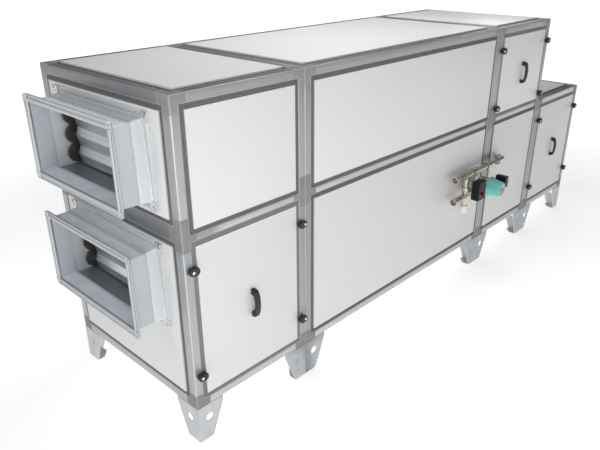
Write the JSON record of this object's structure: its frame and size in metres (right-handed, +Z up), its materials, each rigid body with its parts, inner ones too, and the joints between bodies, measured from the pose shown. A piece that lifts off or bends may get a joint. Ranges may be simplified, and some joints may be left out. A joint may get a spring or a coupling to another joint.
{
  "type": "air handling unit",
  "caption": "Two-tier modular air handling unit with flexible duct connectors, geared dampers, clamped lift-off doors and a side-mounted water mixing group.",
  "frame": {"origin": "floor level under the middle of the whole unit's box", "axes": "+X along the unit away from the duct connectors, -Y out of the service side with its doors and water mixing group, +Z up"},
  "size_m": [3.442, 1.025, 1.375],
  "materials": {
    "aluminium_profile": "satin anodised",
    "corner_plastic": "moulded, matt grey",
    "seal_rubber": "matt grey",
    "white_panel": "smooth powder coat",
    "galvanised": "galvanised",
    "duct_fabric": "coated fabric, matt grey",
    "blade_aluminium": "satin",
    "black_plastic": "matt",
    "fitting_brass": "nickel plated",
    "white_plastic": "matt",
    "pump_paint": "satin"
  },
  "bodies": {
    "unit": {"section_1_frame": "aluminium_profile", "section_2_frame": "aluminium_profile", "section_3_frame": "aluminium_profile", "section_4_frame": "aluminium_profile", "corner_pieces": "corner_plastic", "panel_seals": "seal_rubber", "legs": "galvanised", "front_panels": "white_panel", "back_panels": "white_panel", "door_1": "white_panel", "door_3": "white_panel", "door_4": "white_panel", "roof_panels": "white_panel", "floor_panels": "white_panel", "tier_decks": "white_panel", "far_end_panels": "white_panel", "upper_end_panel": "white_panel", "lower_end_panel": "white_panel", "door_handles": "black_plastic", "upper_rear_flange": "galvanised", "upper_front_flange": "galvanised", "upper_fabric_sleeve": "duct_fabric", "upper_damper_casing": "galvanised", "lower_rear_flange": "galvanised", "lower_front_flange": "galvanised", "lower_fabric_sleeve": "duct_fabric", "lower_damper_casing": "galvanised", "supply_line": "fitting_brass", "return_line": "fitting_brass", "mixing_valve": "fitting_brass", "bypass_line": "fitting_brass", "valve_cap": "white_plastic", "valve_actuator": "black_plastic", "pump_housing": "fitting_brass", "pump_motor": "pump_paint", "pump_terminal_box": "black_plastic"},
    "upper_blade_1": {"upper_blade_1": "blade_aluminium"},
    "upper_blade_2": {"upper_blade_2": "blade_aluminium"},
    "upper_blade_3": {"upper_blade_3": "blade_aluminium"},
    "lower_blade_1": {"lower_blade_1": "blade_aluminium"},
    "lower_blade_2": {"lower_blade_2": "blade_aluminium"},
    "lower_blade_3": {"lower_blade_3": "blade_aluminium"},
    "door_1_clamp_1": {"door_1_clamp_1": "black_plastic"},
    "door_1_clamp_2": {"door_1_clamp_2": "black_plastic"},
    "door_1_clamp_3": {"door_1_clamp_3": "black_plastic"},
    "door_1_clamp_4": {"door_1_clamp_4": "black_plastic"},
    "door_3_clamp_1": {"door_3_clamp_1": "black_plastic"},
    "door_3_clamp_2": {"door_3_clamp_2": "black_plastic"},
    "door_3_clamp_3": {"door_3_clamp_3": "black_plastic"},
    "door_3_clamp_4": {"door_3_clamp_4": "black_plastic"},
    "door_4_clamp_1": {"door_4_clamp_1": "black_plastic"},
    "door_4_clamp_2": {"door_4_clamp_2": "black_plastic"},
    "door_4_clamp_3": {"door_4_clamp_3": "black_plastic"},
    "door_4_clamp_4": {"door_4_clamp_4": "black_plastic"},
    "actuator_dial": {"actuator_dial": "black_plastic"}
  },
  "joints": [
    {"name": "upper_blade_2_turn", "type": "hinge", "parent": "unit", "child": "upper_blade_2", "pos_m": [-1.56, 0.0855, 1.11277], "axis": [0, 1, 0], "range_deg": [0, 90]},
    {"name": "upper_blade_1_turn", "type": "hinge", "parent": "unit", "child": "upper_blade_1", "pos_m": [-1.56, 0.0855, 1.03677], "axis": [0, 1, 0], "range_deg": [-90, 0]},
    {"name": "upper_blade_3_turn", "type": "hinge", "parent": "unit", "child": "upper_blade_3", "pos_m": [-1.56, 0.0855, 1.18877], "axis": [0, 1, 0], "range_deg": [-90, 0]},
    {"name": "lower_blade_2_turn", "type": "hinge", "parent": "unit", "child": "lower_blade_2", "pos_m": [-1.56, 0.0855, 0.64527], "axis": [0, 1, 0], "range_deg": [0, 90]},
    {"name": "lower_blade_1_turn", "type": "hinge", "parent": "unit", "child": "lower_blade_1", "pos_m": [-1.56, 0.0855, 0.56927], "axis": [0, 1, 0], "range_deg": [-90, 0]},
    {"name": "lower_blade_3_turn", "type": "hinge", "parent": "unit", "child": "lower_blade_3", "pos_m": [-1.56, 0.0855, 0.72127], "axis": [0, 1, 0], "range_deg": [-90, 0]},
    {"name": "door_1_clamp_1_turn", "type": "hinge", "parent": "unit", "child": "door_1_clamp_1", "pos_m": [-1.561, -0.3495, 0.3115], "axis": [0, 1, 0], "range_deg": [0, 90]},
    {"name": "door_1_clamp_2_turn", "type": "hinge", "parent": "unit", "child": "door_1_clamp_2", "pos_m": [-1.005, -0.3495, 0.3115], "axis": [0, -1, 0], "range_deg": [0, 90]},
    {"name": "door_1_clamp_3_turn", "type": "hinge", "parent": "unit", "child": "door_1_clamp_3", "pos_m": [-1.561, -0.3495, 0.7575], "axis": [0, -1, 0], "range_deg": [0, 90]},
    {"name": "door_1_clamp_4_turn", "type": "hinge", "parent": "unit", "child": "door_1_clamp_4", "pos_m": [-1.005, -0.3495, 0.7575], "axis": [0, 1, 0], "range_deg": [0, 90]},
    {"name": "door_3_clamp_1_turn", "type": "hinge", "parent": "unit", "child": "door_3_clamp_1", "pos_m": [0.539, -0.3495, 0.9385], "axis": [0, 1, 0], "range_deg": [0, 90]},
    {"name": "door_3_clamp_2_turn", "type": "hinge", "parent": "unit", "child": "door_3_clamp_2", "pos_m": [1.095, -0.3495, 0.9385], "axis": [0, -1, 0], "range_deg": [0, 90]},
    {"name": "door_3_clamp_3_turn", "type": "hinge", "parent": "unit", "child": "door_3_clamp_3", "pos_m": [0.539, -0.3495, 1.2505], "axis": [0, -1, 0], "range_deg": [0, 90]},
    {"name": "door_3_clamp_4_turn", "type": "hinge", "parent": "unit", "child": "door_3_clamp_4", "pos_m": [1.095, -0.3495, 1.2505], "axis": [0, 1, 0], "range_deg": [0, 90]},
    {"name": "door_4_clamp_1_turn", "type": "hinge", "parent": "unit", "child": "door_4_clamp_1", "pos_m": [1.139, -0.3495, 0.309], "axis": [0, 1, 0], "range_deg": [0, 90]},
    {"name": "door_4_clamp_2_turn", "type": "hinge", "parent": "unit", "child": "door_4_clamp_2", "pos_m": [1.695, -0.3495, 0.309], "axis": [0, -1, 0], "range_deg": [0, 90]},
    {"name": "door_4_clamp_3_turn", "type": "hinge", "parent": "unit", "child": "door_4_clamp_3", "pos_m": [1.139, -0.3495, 0.755], "axis": [0, -1, 0], "range_deg": [0, 90]},
    {"name": "door_4_clamp_4_turn", "type": "hinge", "parent": "unit", "child": "door_4_clamp_4", "pos_m": [1.695, -0.3495, 0.755], "axis": [0, 1, 0], "range_deg": [0, 90]},
    {"name": "actuator_dial_turn", "type": "hinge", "parent": "unit", "child": "actuator_dial", "pos_m": [0.24, -0.4795, 0.55867], "axis": [0, 1, 0], "range_deg": [0, 90]}
  ],
  "couplings": [
    {"joint": "upper_blade_1_turn", "follows": "upper_blade_2_turn", "ratio": -1},
    {"joint": "upper_blade_3_turn", "follows": "upper_blade_2_turn", "ratio": -1},
    {"joint": "lower_blade_1_turn", "follows": "lower_blade_2_turn", "ratio": -1},
    {"joint": "lower_blade_3_turn", "follows": "lower_blade_2_turn", "ratio": -1}
  ]
}
